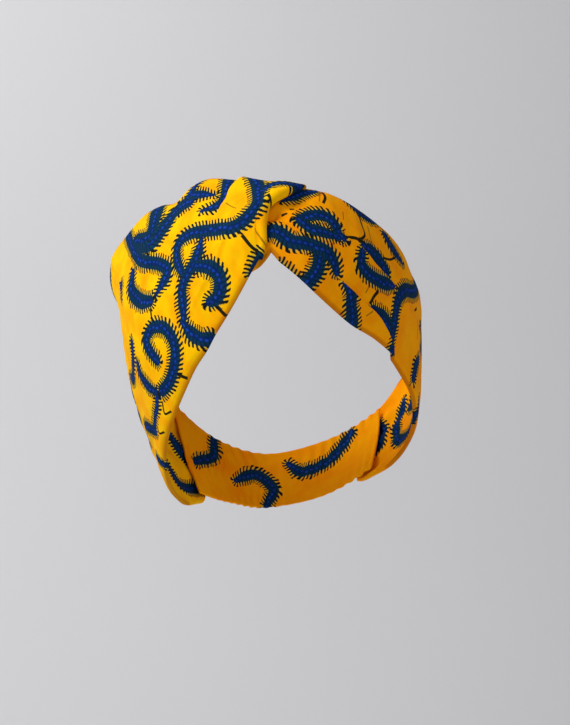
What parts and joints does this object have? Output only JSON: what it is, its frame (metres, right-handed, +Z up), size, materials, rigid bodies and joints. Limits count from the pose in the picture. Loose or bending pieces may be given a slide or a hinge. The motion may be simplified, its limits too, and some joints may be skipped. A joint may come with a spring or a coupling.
{
  "type": "turban headband",
  "caption": "Wide printed cotton turban headband in its worn form, with two panels crossed at the brow and a plain band at the nape.",
  "frame": {"origin": "middle of the head hollow, where the band sits on a head", "axes": "+Z up and -Y to the front of the head as worn; +X towards the wearer's left"},
  "size_m": [0.1828, 0.1818, 0.1876],
  "materials": {
    "printed_cotton": "matt plain-weave cotton, yellow ground with feathered navy scrolls",
    "nape_cotton": "the same printed cotton as the panels, drawn up in small gathers"
  },
  "bodies": {
    "root": {"right_panel": "printed_cotton", "left_panel": "printed_cotton", "nape_band": "nape_cotton"}
  },
  "joints": []
}
